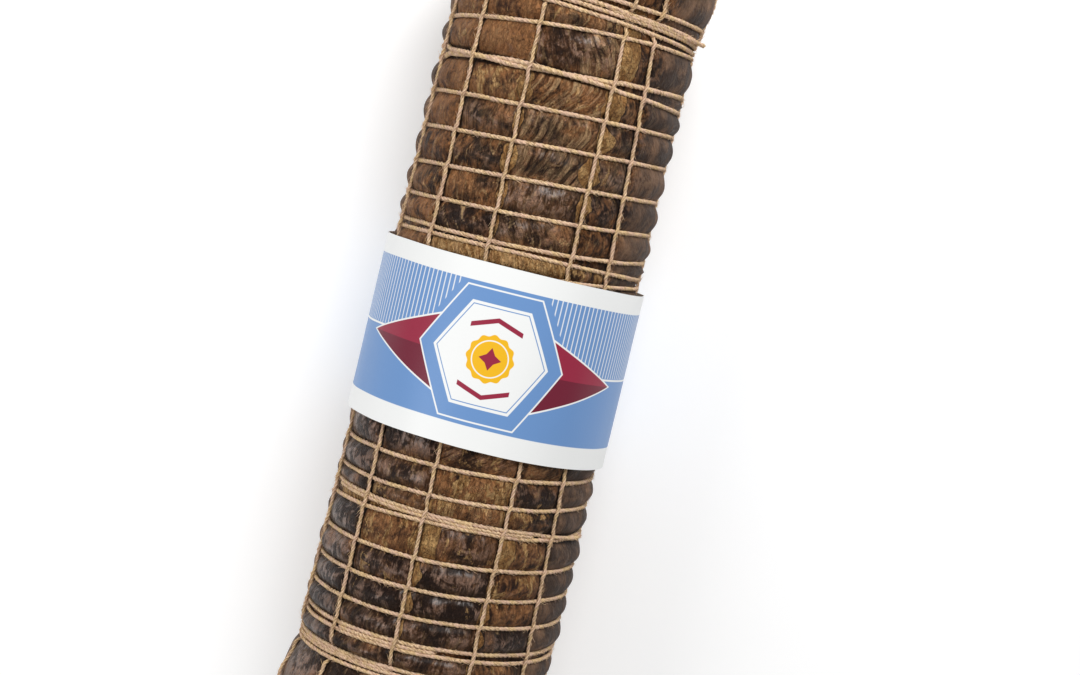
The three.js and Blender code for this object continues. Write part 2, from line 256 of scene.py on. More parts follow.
def shape_grid(name, rows, columns, shape, marks, wall=0):
    """A grid of rows by columns that is moved by shape(row, column), which gives a vertex's place and then
    its marks, the vector attributes that materials read. It closes where its sides meet. An open one gets a
    wall of the given thickness, in mm."""
    bm = bmesh.new()
    bmesh.ops.create_grid(bm, x_segments=columns, y_segments=rows, size=0.5)
    layers = [bm.verts.layers.float_vector.new(mark) for mark in marks]
    for i, vert in enumerate(bm.verts):
        where, *values = shape(*divmod(i, columns + 1))
        vert.co = where
        for layer, value in zip(layers, values):
            vert[layer] = value
    bmesh.ops.remove_doubles(bm, verts=bm.verts, dist=MERGE * MM)
    bmesh.ops.recalc_face_normals(bm, faces=bm.faces)
    if wall:
        bmesh.ops.solidify(bm, geom=bm.faces[:], thickness=wall * MM)
    for face in bm.faces:
        face.smooth = True
    for edge in bm.edges:
        edge.smooth = edge.calc_face_angle(0) < SHARP or not wall
    mesh = bpy.data.meshes.new(name)
    bm.to_mesh(mesh)
    bm.free()
    return mesh


def add_piece(name, mesh, finish, slot, *nodes):
    """Puts a piece into the scene in place of the named nodes. It rides on the only body."""
    piece = bpy.data.objects.new(name, mesh)
    bpy.context.scene.collection.objects.link(piece)
    mesh.materials.append(finish.material)
    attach(piece, "root")
    if nodes:
        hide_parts(*nodes)


def casing_rows():
    """The rows of the casing's grid. Each is ("end", end, k) on a rounded end, or ("side", lower line, upper
    line, share, number of the gap) between, where a line is a hoop."""
    lines = [(TAIL["shoulder"], 0, 0), *HOOPS, (TOP["shoulder"], 0, 0)]
    rows = [("end", TAIL, 1 - i / DOME_ROWS) for i in range(DOME_ROWS)]
    for gap, (lower, upper) in enumerate(zip(lines, lines[1:])):
        width = upper[0] - lower[0]
        if width > 2 * BAND_HALF:
            below, above = EDGE_ROWS
            shares = [i * EDGE_STEP / width for i in range(below)]
            shares += [(below * EDGE_STEP + i * HIDDEN_STEP) / width for i in range(HIDDEN_ROWS)]
            shares += [1 - i * EDGE_STEP / width for i in range(above, 0, -1)]
        else:
            count = max(2, round(width / ROW_STEP))
            shares = [i / count for i in range(count)]
        rows += [("side", lower, upper, share, gap) for share in shares]
    return rows + [("end", TOP, i / DOME_ROWS) for i in range(DOME_ROWS + 1)]


def cell_traits():
    """What the skin is like in every cell between two hoops and two strings, and how much it swells."""
    rng = random.Random(7)
    traits = {}
    for gap in range(LAST_GAP + 1):
        for column in range(len(STRINGS)):
            chances = [rng.uniform(low, high) for low, high in CHANCES]
            skin = SKIN.get((gap, column), SIDE_SKIN if column == SIDE_COLUMN else chances[:6])
            traits[gap, column] = {
                **dict(zip(("warm", "gather", "lines", "pale", "gloss", "lean"), skin)),
                "flap": FLAPS.get((gap, column), chances[6:]),
                "swell": rng.uniform(-SWELL, SWELL),
                "tone": rng.uniform(-TONE, TONE) - (DARKER if column in DARK_COLUMNS else 0),
            }
    return traits


traits = cell_traits()
rows = casing_rows()


def turn_of(column):
    """The columns stand closer together on the upper side, which is seen most."""
    v = column / COLUMNS - 0.5
    return 360 * v - FRONT_DENSITY * math.sin(2 * math.pi * v)


def nearest_strings(along, turn):
    """The string on the left of a place, and how far that and the next one are, in mm round the roll."""
    to_mm = math.radians(1) * RADIUS
    turns = [string_turn(string, along) for string in STRINGS]
    inside = turn if turn >= turns[0] else turn + 360
    left = max(i for i, t in enumerate(turns) if t <= inside)
    right = turns[(left + 1) % len(turns)] + (360 if left + 1 == len(turns) else 0)
    return left, (inside - turns[left]) * to_mm, (right - inside) * to_mm


def zone(value, low, high, soft):
    """1 between low and high, fading out over soft on both sides."""
    return ease(value, low - soft, low) * (1 - ease(value, high, high + soft))


def under_bundle(along, turn):
    """1 where the lengthwise strings run under a bundle of hoops."""
    s = math.sin(math.radians(turn))
    return max(zone(along - rise * s, low, high, UNDER_SOFT) for low, high, rise in UNDER_BUNDLES)


AWAY = 15  # mm, where there is no hoop on one side
UNCOVERED = (BAND_HALF - 4, BAND_HALF + 2)  # the relief begins and is full this far from the band's middle
PRESS = [(1.7, 1.7), (0.7, 4.5)]  # depth and half width of a lengthwise string's narrow and wide dent
BUNDLE_PRESS = (1.5, 1.5)  # the same for its dent under a bundle of hoops
SMOOTH_RIGHT = (43, 52)  # past these turns on both sides the skin that shows is smooth
SMOOTH_LEFT = (62, 76)
HIDDEN_FROM = 95  # and from this turn on it doesn't show
CALM = 0.6  # how much less rough it is there
GATHERED_RIGHT = ((21, 2), (17, 2))  # these cells are gathered more between two turns
GATHERED_TURNS = {"low": 10, "high": 24, "soft": 5}
GATHERED_MORE = 0.9
FOLD = {"spacing": 3.4, "length": 15, "height": 1.1, "by_hoop": 0.3, "reach": 3.5, "warp": 1.8, "bend": 0.04}
LINE = {"height": 0.55, "width": 0.16}
SMALL_LUMPS = 0.42


def casing_side(lower, upper, share, gap, turn):
    from_along = hoop_along(lower, turn)
    gap_width = hoop_along(upper, turn) - from_along
    along = from_along + share * gap_width
    gaps = [AWAY if gap == 0 else share * gap_width, AWAY if gap == LAST_GAP else (1 - share) * gap_width]
    hoop_gap = min(gaps)
    near_end = max(ease(end["sign"] * (along - end["shoulder"]), -END_CALM, 0) for end in (TOP, TAIL))
    left, left_gap, right_gap = nearest_strings(along, turn)
    cell = traits[gap, left]
    string_gap = min(left_gap, right_gap)
    bare = ease(abs(along), *UNCOVERED)

    swell = 1 if gap in (0, LAST_GAP) else ease(gap_width, *SQUEEZED)
    roundness = 1 - (1 - min(hoop_gap / min(PILLOW, sum(gaps) / 2), 1)) ** 2
    pinched = 1 - swell * roundness
    press = sum(depth * bump(string_gap, 0, width) for depth, width in PRESS)
    under = under_bundle(along, turn)

    # The folds run lengthwise, bend near the hoops and lean. The outermost cells that show are smooth.
    smooth_side = 0
    if abs(turn) < HIDDEN_FROM:
        smooth_side = max(ease(turn, *SMOOTH_RIGHT), ease(-turn, *SMOOTH_LEFT))
    calm = 1 - CALM * smooth_side
    gathered = max(cell["gather"], 0) * calm
    lines = max(cell["lines"], 0) * calm
    if (gap, left) in GATHERED_RIGHT:
        gathered = max(gathered, zone(turn, **GATHERED_TURNS) * GATHERED_MORE)
    around = math.radians(turn) * RADIUS
    from_middle = (share - 0.5) * gap_width
    warp = FOLD["warp"] * noise.noise((around / 7, along / 9, 3.1)) + cell["lean"] * from_middle
    warp += FOLD["bend"] * from_middle ** 2 * (1 - cell["gloss"])
    wave = noise.noise(((around + warp) / FOLD["spacing"], along / FOLD["length"], 0.7 + gap))
    fold = min(abs(wave) * 2, 1.2)
    near_hoop = bump(hoop_gap, 0, FOLD["reach"])
    fold_height = FOLD["height"] * gathered * (0.6 + 0.4 * near_hoop) + FOLD["by_hoop"] * near_hoop
    folds = (fold - 0.35) * fold_height + LINE["height"] * lines * bump(fold, 0, LINE["width"])
    lumps = noise.noise((around / 14, along / 12, 9.3))
    lumps += noise.noise((around / 5, along / 5, 4.4)) * SMALL_LUMPS * calm

    ragged = noise.noise((gap * 1.7, along / 4, left * 2.3))
    leaf = max(math.sin(math.pi * share), 0) ** 0.55 * (0.9 + 0.5 * ragged)
    reach = [width * (0.95 + 0.12 * ragged if width > STRAIGHT_FLAP else leaf) for width in cell["flap"]]
    flap = max(reach[0] - left_gap, reach[1] - right_gap)
    raised = FLAP_HEIGHT * ease(flap, -0.4, 0.5)

    radius = form_radius(along, turn) - FURROW * pinched
    bundle_depth, bundle_width = BUNDLE_PRESS
    radius -= (press * (1 - pinched) + bundle_depth * under * bump(string_gap, 0, bundle_width)) * bare
    radius += (folds + (lumps + cell["swell"] + raised) * (1 - pinched)) * bare * (1 - near_end)

    return along, radius, turn + math.degrees(warp / RADIUS), (
        (hoop_gap, string_gap, fold),
        (flap, cell["warm"] * calm, gathered),
        (cell["pale"] * calm, cell["gloss"], cell["tone"]),
        (lines, smooth_side, 0),
    )


PLEAT = {"fineness": 11, "bend": 1.3, "depth": 1.3}
END_PRESS = (0.9, 2)  # depth and half width of a string's dent on a rounded end
END_FACE = 0.25  # from this share of the way in its relief lies along the roll
END_SKIN = (-2, 0.35, 0.6)  # like a vertex's marks: no flap, how warm brown and how gathered
END_LOOK = (0.15, 0.4, 0)  # how pale, how glossy, and its tone


def casing_end(end, k, turn):
    along, radius = dome_form(end, k, turn)
    side = form_radius(end["shoulder"], turn)
    _, left_gap, right_gap = nearest_strings(end["shoulder"], turn)
    string_gap = min(left_gap, right_gap) * max(radius, 1) / side
    t = math.radians(turn)
    inwards = 1 - radius / side
    fine = PLEAT["fineness"]
    bend = end["sign"] + inwards * PLEAT["bend"]
    pleat = 2 * abs(noise.noise((math.cos(t) * fine, math.sin(t) * fine, bend)))
    depth = PLEAT["depth"] * bump(inwards, 0.75, 0.5) * ease(radius, 3, 20)
    dent, half_width = END_PRESS
    press = dent * bump(string_gap, 0, half_width) * ease(radius, 8, 20)
    on_face = ease(inwards, 0, END_FACE)
    along += end["sign"] * ((pleat - 0.4) * depth - press) * on_face
    radius -= press * (1 - on_face)
    flap, warm, gathered = END_SKIN
    skin = (flap, warm, gathered * ease(inwards, 0.05, 0.4))
    return along, radius, turn, ((AWAY, string_gap, pleat), skin, END_LOOK, (0, 0, 0))


def casing_vertex(row, column):
    turn = turn_of(column % COLUMNS)
    kind, *where = rows[row]
    along, radius, bent_turn, marks = (casing_end if kind == "end" else casing_side)(*where, turn)
    length = along
    if kind == "end":
        length += where[0]["sign"] * (RADIUS - radius)
    at = place(along, radius, turn)
    at.z = max(at.z, 0)
    t, bent = math.radians(turn), math.radians(bent_turn)
    unrolled = (RADIUS * math.cos(t), RADIUS * math.sin(t), length)
    return at, *marks, unrolled, (RADIUS * math.cos(bent), RADIUS * math.sin(bent), length)


class Shade:
    """One output of a node. Arithmetic on it adds Math nodes to the same finish."""

    def __init__(self, finish, socket):
        self.finish = finish
        self.socket = socket

    def maths(self, operation, *values):
        return self.finish.node("Math", {"operation": operation}, dict(enumerate(values)))

    def __add__(self, other):
        return self.maths("ADD", self, other)

    def __radd__(self, other):
        return self.maths("ADD", other, self)

    def __sub__(self, other):
        return self.maths("SUBTRACT", self, other)

    def __rsub__(self, other):
        return self.maths("SUBTRACT", other, self)

    def __mul__(self, other):
        return self.maths("MULTIPLY", self, other)

    def __rmul__(self, other):
        return self.maths("MULTIPLY", other, self)

    def __truediv__(self, other):
        return self.maths("DIVIDE", self, other)

    def __abs__(self):
        return self.maths("ABSOLUTE", self)

    def most(self, other):
        return self.maths("MAXIMUM", self, other)

    def parts(self):
        """The three numbers of a vector."""
        split = self.finish.node("SeparateXYZ", {}, {0: self})
        return [Shade(self.finish, part) for part in split.socket.node.outputs]


class Finish:
    """A material with one Principled shader. constants are set on the shader's own sockets."""

    def __init__(self, name, constants):
        self.material = bpy.data.materials.new(name)
        self.material.use_nodes = True
        self.tree = self.material.node_tree
        self.shader = self.tree.nodes["Principled BSDF"]
        for socket, value in constants.items():
            self.shader.inputs[socket].default_value = value

    def feed(self, socket, value):
        if isinstance(value, Shade):
            self.tree.links.new(value.socket, socket)
        else:
            socket.default_value = value

    def node(self, kind, settings, inputs, output=0):
        made = self.tree.nodes.new("ShaderNode" + kind)
        for key, value in settings.items():
            setattr(made, key, value)
        for key, value in inputs.items():
            self.feed(made.inputs[key], value)
        return Shade(self, made.outputs[output])

    def mark(self, name):
        """A vector attribute of the piece."""
        return self.node("Attribute", {"attribute_name": name}, {}, 1)

    def stretch(self, vector, scale):
        return self.node("VectorMath", {"operation": "MULTIPLY"}, {0: vector, 1: scale})

    def noise(self, vector, scale, detail=4.0, roughness=0.5, distortion=0.0):
        return self.node("TexNoise", {}, {
            "Vector": vector, "Scale": scale, "Detail": detail, "Roughness": roughness,
            "Distortion": distortion,
        })

    def step(self, value, low, high):
        """0 at low and 1 at high, with a smooth change between them. low may be the greater one."""
        return self.node("MapRange", {"interpolation_type": "SMOOTHSTEP"}, {0: value, 1: low, 2: high})

    def mix(self, share, one, other):
        return self.node("Mix", {"data_type": "RGBA"}, {0: share, 6: one, 7: other}, 2)

    def use(self, colour, roughness, height, depth):
        """Feeds the shader. height is relief in parts of depth, which is in mm."""
        relief = self.node("Bump", {}, {"Height": height, "Distance": depth * MM, "Strength": 1.0})
        self.feed(self.shader.inputs["Base Color"], colour)
        self.feed(self.shader.inputs["Roughness"], roughness)
        self.feed(self.shader.inputs["Normal"], relief)


def srgb(red, green, blue):
    """A colour from its 0 to 255 numbers as on a screen."""
    shares = [number / 255 for number in (red, green, blue)]
    return (*(((share + 0.055) / 1.055) ** 2.4 if share > 0.04 else share / 12.92 for share in shares), 1)


def casing_finish():
    """Smoked skin: satin, in soft brown patches, with pale folds where it is gathered and dry pale flaps."""
    f = Finish("casing_skin", {
        "IOR": 1.4, "Specular IOR Level": 0.36, "Specular Tint": (1, 0.74, 0.66, 1), "Coat Roughness": 0.3,
        "Coat IOR": 1.45,
    })
    skin = f.mark("unrolled")
    other_skin = f.stretch(skin, (-1, 1, 1))
    bent = f.mark("bent")
    hoop_gap, string_gap, fold = f.mark("ties").parts()
    flap, warm, gathered = f.mark("skin").parts()
    pale, gloss, tone = f.mark("look").parts()
    lines, smooth, _ = f.mark("lines").parts()

    cloud = f.noise(skin, 0.07, 3.0, 0.5, 0.6)
    patch = f.noise(skin, 0.17, 4.0, 0.55, 1.0)
    hue = f.noise(other_skin, 0.1, 3.0, 0.5, 1.2)
    leather = f.noise(f.stretch(other_skin, (0.17, 0.17, 0.11)), 1.0, 5.0, 0.6, 0.6)
    mottle = f.noise(f.stretch(skin, (0.6, 0.6, 0.45)), 1.0, 5.0, 0.65, 0.6)
    fibre = f.noise(f.stretch(bent, (1.5, 1.5, 0.3)), 1.0, 4.0, 0.6, 0.5)
    striae = f.noise(f.stretch(bent, (0.7, 0.7, 0.1)), 1.0, 4.0, 0.6, 0.3)
    crack = abs(f.noise(f.stretch(skin, (0.35, 0.35, 0.22)), 1.0, 5.0, 0.6, 0.8) - 0.5)
    wrinkle = abs(f.noise(f.stretch(bent, (0.4, 0.4, 0.2)), 1.0, 4.0, 0.55, 0.8) - 0.5)

    dark = srgb(32, 19, 13)
    brown = srgb(152, 102, 62)
    tan = srgb(196, 160, 114)
    shade = srgb(14, 8, 6)

    rough = 1 - smooth * 0.65
    near_hoop = f.step(hoop_gap, 4.0, 0.8)
    glossy = f.step(gloss + (cloud - 0.5) * -1.4, 0.3, 0.9)
    plain = 1 - glossy * 0.75
    level = 0.54 + (patch - 0.5) * 2.6 * plain * rough + (cloud - 0.5) * 1.8
    level = level + (striae - 0.5) * (0.5 + plain) * rough + (mottle - 0.5) * 0.8 * plain
    level = level + tone * 0.25 + warm * 0.35 - glossy * 0.3
    colour = f.mix(f.step(level, -0.05, 1.1), dark, brown)
    reds = f.step(warm * 0.7 + (hue - 0.5) * 2.6 + (striae - 0.5) * 0.5, 0.2, 1.1)
    russet = f.mix(f.step(level, 0.1, 1.2), srgb(90, 54, 34), srgb(160, 116, 76))
    colour = f.mix(reds * (0.1 + plain * 0.55) * rough, colour, russet)
    blush = f.step((hue - 0.5) * -2.6 + (patch - 0.5) * 1.4 + (mottle - 0.5) * 0.8, 0.2, 0.8) * rough
    colour = f.mix(blush * (0.45 - glossy * 0.15), colour, srgb(156, 122, 100))
    # Glossier patches of skin; they also carry the painted sheen below.
    gloss_and_painted_sheen = f.step(patch + (cloud - 0.5) * 0.8 + (wrinkle - 0.1) * 0.5 + (striae - 0.5) * 0.6, 0.42, 0.6)
    # Painted sheen: a pale mauve-brown laid in the middle of glossy pillows, where a soft highlight would
    # show.
    colour = f.mix(f.step(hoop_gap, 2.0, 6.0) * gloss_and_painted_sheen * glossy * rough * 0.62, colour, srgb(154, 122, 104))
    dried = f.step(pale * 1.1 + (leather - 0.5) * 2.4 + (mottle - 0.5) * 0.5, 0.5, 0.72)
    ochre = f.mix(f.step(striae + (mottle - 0.5) * 0.8, 0.35, 0.65), srgb(144, 102, 56), srgb(204, 164, 110))
    colour = f.mix(dried * 0.85, colour, ochre)
    specks = f.step(mottle * 0.5 + fibre * 0.5 + (cloud - 0.5) * 0.2, 0.56, 0.64) * rough
    colour = f.mix(specks * (0.2 + pale * 0.3 + near_hoop * 0.5 - glossy * 0.05), colour, tan)

    # Painted sheen: on the outermost cells that show, the colour is mixed to a duller, greyer brown that
    # stands in for the grey sheen at the sides.
    painted_side_sheen = f.mix(f.step(level, -0.1, 1.1), srgb(60, 47, 39), srgb(128, 103, 84))
    colour = f.mix(smooth * 0.8, colour, painted_side_sheen)

    ridge = f.mix(f.step(striae, 0.35, 0.62), srgb(136, 100, 68), srgb(204, 168, 124))
    ridge = f.mix(f.step(hue, 0.52, 0.62) * 0.5, ridge, srgb(186, 132, 98))
    ridges = f.step(fold + (striae - 0.5) * 0.5, 0.15, 0.85) * gathered
    colour = f.mix(ridges * (0.85 + (cloud - 0.5) * 1.6), colour, ridge)
    colour = f.mix(f.step(fold, 0.2, 0.05) * lines * (0.6 + (patch - 0.5) * 3.0).most(0), colour, tan)
    # Painted shade: the valleys between gathered folds are darkened.
    painted_valley_shade = f.step(fold, 0.2, 0.04) * gathered * (1 - lines) * 0.6
    colour = f.mix(painted_valley_shade, colour, srgb(52, 34, 26))
    colour = f.mix(f.step(crack, 0.02, 0.004) * rough * 0.5, colour, shade)

    flap_edge = flap + (fibre - 0.5) * 0.9
    on_flap = f.step(flap_edge, 0.0, 0.25)
    dry = f.mix(f.step(patch, 0.4, 0.62), srgb(152, 110, 64), srgb(194, 154, 100))
    dry = f.mix(f.step(striae, 0.5, 0.35) * 0.5, dry, srgb(114, 78, 46))
    dry = f.mix(f.step(crack, 0.025, 0.005) * 0.7, dry, srgb(78, 52, 32))
    # Painted shadow: a dark line just outside the edge of each raised flap.
    colour = f.mix(f.step(abs(flap_edge + 0.3), 0.5, 0.1) * 0.5, colour, shade)
    colour = f.mix(on_flap * 0.94, colour, dry)
    # Painted shade: the skin is darkened next to the hoops and the lengthwise strings, in the dents where
    # they press in.
    furrow = f.step(hoop_gap, 1.7, 0.4).most(f.step(string_gap, 1.6, 0.5))
    colour = f.mix(furrow * 0.8, colour, shade)

    roughness = 0.6 - glossy * (0.16 + gloss_and_painted_sheen * 0.14) + on_flap * 0.12 + smooth * 0.15 + (striae - 0.5) * 0.4
    coat = glossy * (gloss_and_painted_sheen * 0.5 + 0.08) * (1 - on_flap) * (1 - furrow) * (1 - smooth * 0.9)
    f.feed(f.shader.inputs["Coat Weight"], coat)
    height = (mottle * 0.5 + fibre * 0.2 + striae * 0.3) * (0.2 + plain * 0.8) + patch * 0.5 + striae * 0.3
    height = height + f.step(crack, 0.0, 0.06) * 0.25
    height = height + f.step(wrinkle, 0.0, 0.12) * 0.4
    f.use(colour, roughness, height * rough + on_flap * 0.25, 1.8)
    return f


casing = shape_grid(
    "casing", len(rows) - 1, COLUMNS, casing_vertex, ("ties", "skin", "look", "lines", "unrolled", "bent")
)
add_piece("casing", casing, casing_finish(), "casing", "roll")

# Twine hoops
# Hemp twine of three strands, wound tight round the roll and hitched to the lengthwise strings. Two heavy
# bundles of several turns lie near the ends.
TWINE = {"diameter": 2.3, "lay": 8.0, "spacing": 0.8, "rough": 0.12, "wavy": 0.14, "slack": 0.07, "joint": 4}
TWINE_DEPTH = 2.4  # of a hoop's own centre line
LOBES = (1.0, 0.9, 0.7, 0.9) * 3  # the section round three strands


def evenly(points, spacing, closed):
    """The same course with points a step of about spacing apart. A point is its place and the way out."""
    ring = points + points[:1] if closed else points
    lengths = [0]
    for (a, _), (b, _) in zip(ring, ring[1:]):
        lengths.append(lengths[-1] + (b - a).length)
    count = max(4, round(lengths[-1] / (spacing * MM)))
    made = []
    k = 0
    for i in range(count if closed else count + 1):
        goal = lengths[-1] * i / count
        while k < len(ring) - 2 and lengths[k + 1] < goal:
            k += 1
        share = (goal - lengths[k]) / max(lengths[k + 1] - lengths[k], 1e-9)
        (a, out_a), (b, out_b) = ring[k], ring[k + 1]
        made.append((a.lerp(b, share), out_a.lerp(out_b, share).normalized()))
    return made, lengths[-1]


def twine_mesh(name, points, closed, diameter, seed):
    """Three-strand twine along a course, as one tube with three lobes that turn as they go."""
    course, length = evenly(points, TWINE["spacing"], closed)
    count = len(course)
    lobe_turns = round(3 * length / (TWINE["lay"] * MM))
    rings = count if closed else count + 1  # an open one has a ring more, for its closed tips
    sides = len(LOBES)
    frames = []
    for i, (at, out) in enumerate(course):
        before = course[i - 1 if closed or i else 0][0]
        after = course[(i + 1) % count if closed else min(i + 1, count - 1)][0]
        run = (after - before).normalized()
        side = run.cross(out).normalized()
        frames.append((at, side.cross(run), side))

    def vertex(row, column):
        column %= sides
        if closed:
            i, tip = row % count, 1
        else:
            i, tip = min(max(row - 1, 0), count - 1), 0 if row in (0, rings) else 1
        at, up, side = frames[i]
        gone = row / rings * length / MM
        # A closed one is even where its two ends meet.
        varied = ease(min(gone, length / MM - gone), 0, TWINE["joint"]) if closed else 1
        uneven = 1 + TWINE["rough"] * varied * noise.noise((gone / 1.7, seed, column * 0.7))
        uneven += TWINE["wavy"] * varied * noise.noise((gone / 8, seed, 5))
        reach = diameter / 2 * LOBES[column] * uneven * tip
        slack = TWINE["slack"] * varied * noise.noise((gone / 5, seed, 9)) * tip
        twist = lobe_turns / 3 * row / rings + slack
        angle = 2 * math.pi * (column / sides + twist)
        local = 2 * math.pi * column / sides
        where = at + (up * math.cos(angle) + side * math.sin(angle)) * reach * MM
        yarn = (reach * math.cos(local), reach * math.sin(local), gone + 37 * seed)
        return where, yarn

    return shape_grid(name, rings, sides, vertex, ("yarn",))


def twine_finish():
    """Hemp: pale tan fibres along each strand, with painted shade between the strands."""
    f = Finish("hemp_twine", {"Specular IOR Level": 0.2})
    yarn = f.mark("yarn")
    out = f.node("VectorMath", {"operation": "LENGTH"}, {0: f.stretch(yarn, (1, 1, 0))}, 1)
    fibre = f.noise(f.stretch(yarn, (4.5, 4.5, 0.35)), 1.0, 4.0, 0.6)
    tint = f.noise(f.stretch(yarn, (0.15, 0.15, 0.09)), 1.0, 2.0)
    frayed = f.noise(f.stretch(yarn, (1.2, 1.2, 0.8)), 1.0, 4.0, 0.65)
    colour = f.mix(f.step(fibre * 0.4 + frayed * 0.6, 0.4, 0.56), srgb(158, 124, 91), srgb(239, 208, 169))
    colour = f.mix(f.step(tint, 0.48, 0.58) * 0.6, colour, srgb(220, 184, 164))
    colour = f.mix(f.step(tint, 0.48, 0.38) * 0.5, colour, srgb(222, 190, 136))
    # Painted shade: darker in the grooves between the strands.
    colour = f.mix(f.step(out, 0.92, 0.7) * 0.6, colour, srgb(150, 116, 82))
    f.use(colour, 0.85 + (fibre - 0.5) * 0.2, fibre * 0.4 + frayed * 0.6, 0.4)
    return f


# These pairs of hoops are twisted together between two turns round the roll.
TWISTED = [
    {"hoops": (20, 21), "turns": (-62, 20), "twists": 1, "radius": 0.95, "diameter": 2.6},
    {"hoops": (9, 10), "turns": (48, 88), "twists": 0.5, "radius": 0.8, "diameter": 2.3},
]
DIVE = 3.2  # how deep an extra turn goes in at both of its ends
EXTRA_TURNS = [  # parts of a further turn: along, rise, bow, first and last turn round the roll
    (-82.5, 0, 0.3, -76, 42), (-147, 2.2, 1.2, -46, 8), (176.7, -3.5, 0, 12, 80),
    (-160.3, 0.4, 0.2, -70, -10),
]
EXTRA_SEED = 30
SWAY = 0.35  # mm that a hoop strays along the roll
HEAVE = 0.15  # and up and down
MEET_OVER = 10  # degrees over which a pair comes together
DIVE_OVER = 5  # and over which an extra turn goes in


def hoop_course(hoop, number, pair=None, first=-180, last=180):
    """One turn of twine in its furrow. In a pair it is twisted round the other one, and between two turns it
    is a part that comes out from under its neighbours and goes in again."""
    course = []
    whole = last - first == 360
    for turn in range(first, last if whole else last + 1):
        t = math.radians(turn)
        sway = SWAY * noise.noise((3 * math.cos(t), 3 * math.sin(t), number))
        along = hoop_along(hoop, turn)
        height = HEAVE * noise.noise((5 * math.cos(t), 5 * math.sin(t), -number)) - TWINE_DEPTH
        if pair:
            start, end = pair["turns"]
            partner = HOOPS[sum(pair["hoops"]) - number - 1]
            together = zone(turn, start, end, MEET_OVER)
            twist = 2 * math.pi * pair["twists"] * (turn - start) / (end - start)
            side = 1 if partner[0] < hoop[0] else -1
            middle = (along + hoop_along(partner, turn)) / 2
            along += (middle + side * pair["radius"] * math.cos(twist) - along) * together
            height += side * pair["radius"] * math.sin(twist) * together
        if not whole:
            height -= DIVE * (1 - zone(turn, first + DIVE_OVER, last - DIVE_OVER, DIVE_OVER))
        along += sway
        out = Vector((0, -math.sin(t), math.cos(t)))
        course.append((place(along, form_radius(along, turn) + height, turn), out))
    return course


twine = twine_finish()
courses = []
for number, hoop in enumerate(HOOPS, 1):
    pair = next((pair for pair in TWISTED if number in pair["hoops"]), None)
    diameter = pair["diameter"] if pair else TWINE["diameter"]
    courses.append(hoop_course(hoop, number, pair))
    mesh = twine_mesh(f"twine_hoop_{number:02d}", courses[-1], True, diameter, number)
    add_piece(mesh.name, mesh, twine, "twine", f"hoop_{number:02d}")
for number, (*hoop, first, last) in enumerate(EXTRA_TURNS, 1):
    seed = EXTRA_SEED + number
    courses.append(hoop_course(hoop, seed, None, first, last))
    mesh = twine_mesh(f"twine_extra_turn_{number}", courses[-1], False, TWINE["diameter"], seed)
    add_piece(mesh.name, mesh, twine, "twine")

# Loose end
# The cut end of one turn of the bundle near the top. It comes up between two others, lies on them and then
# stands off from the roll's right side.
LOOSE_END = {"along": 173.6, "first": 58, "comes_up": (58, 66), "seat": 1.8, "lifts": (74, 86), "last": 82}
LOOSE_RISE = 3
LOOSE_FUZZ = 3  # times as many fibres stand off from it
LOOSE_SEED = 39

loose = []
for turn in range(LOOSE_END["first"], LOOSE_END["last"] + 1):
    t = math.radians(turn)
    height = LOOSE_END["seat"] * ease(turn, *LOOSE_END["comes_up"]) - TWINE_DEPTH
    height += LOOSE_RISE * ease(turn, *LOOSE_END["lifts"])
    at = place(LOOSE_END["along"], form_radius(LOOSE_END["along"], turn) + height, turn)
    loose.append((at, Vector((0, -math.sin(t), math.cos(t)))))
courses += [loose] * LOOSE_FUZZ
loose_mesh = twine_mesh("twine_loose_end", loose, False, TWINE["diameter"], LOOSE_SEED)
add_piece("twine_loose_end", loose_mesh, twine, "twine")

# Lengthwise strings
# The same twine, drawn tight over the pillows from one end to the other, over each hoop and under the two
# heavy bundles. All of them meet in the middle of both ends.
STRING_DIAMETER = 1.95
STRING_HEIGHT = -0.85  # of its centre line over the pillows
OVER_HOOP = -0.3  # and over a hoop
UNDER_BUNDLE = -3.9
OVER_END = 1.15
STRING_END = 0.955  # the share of a rounded end that it covers
STRING_STEP = 0.8
END_STEPS = 80
STRING_SEED = 40
STRAY = 0.5  # mm to either side of its line
CROSSING = {"reach": 2.2, "hitch": 0.35, "hitch_reach": 1.6}  # where it is hitched to a hoop, it steps aside


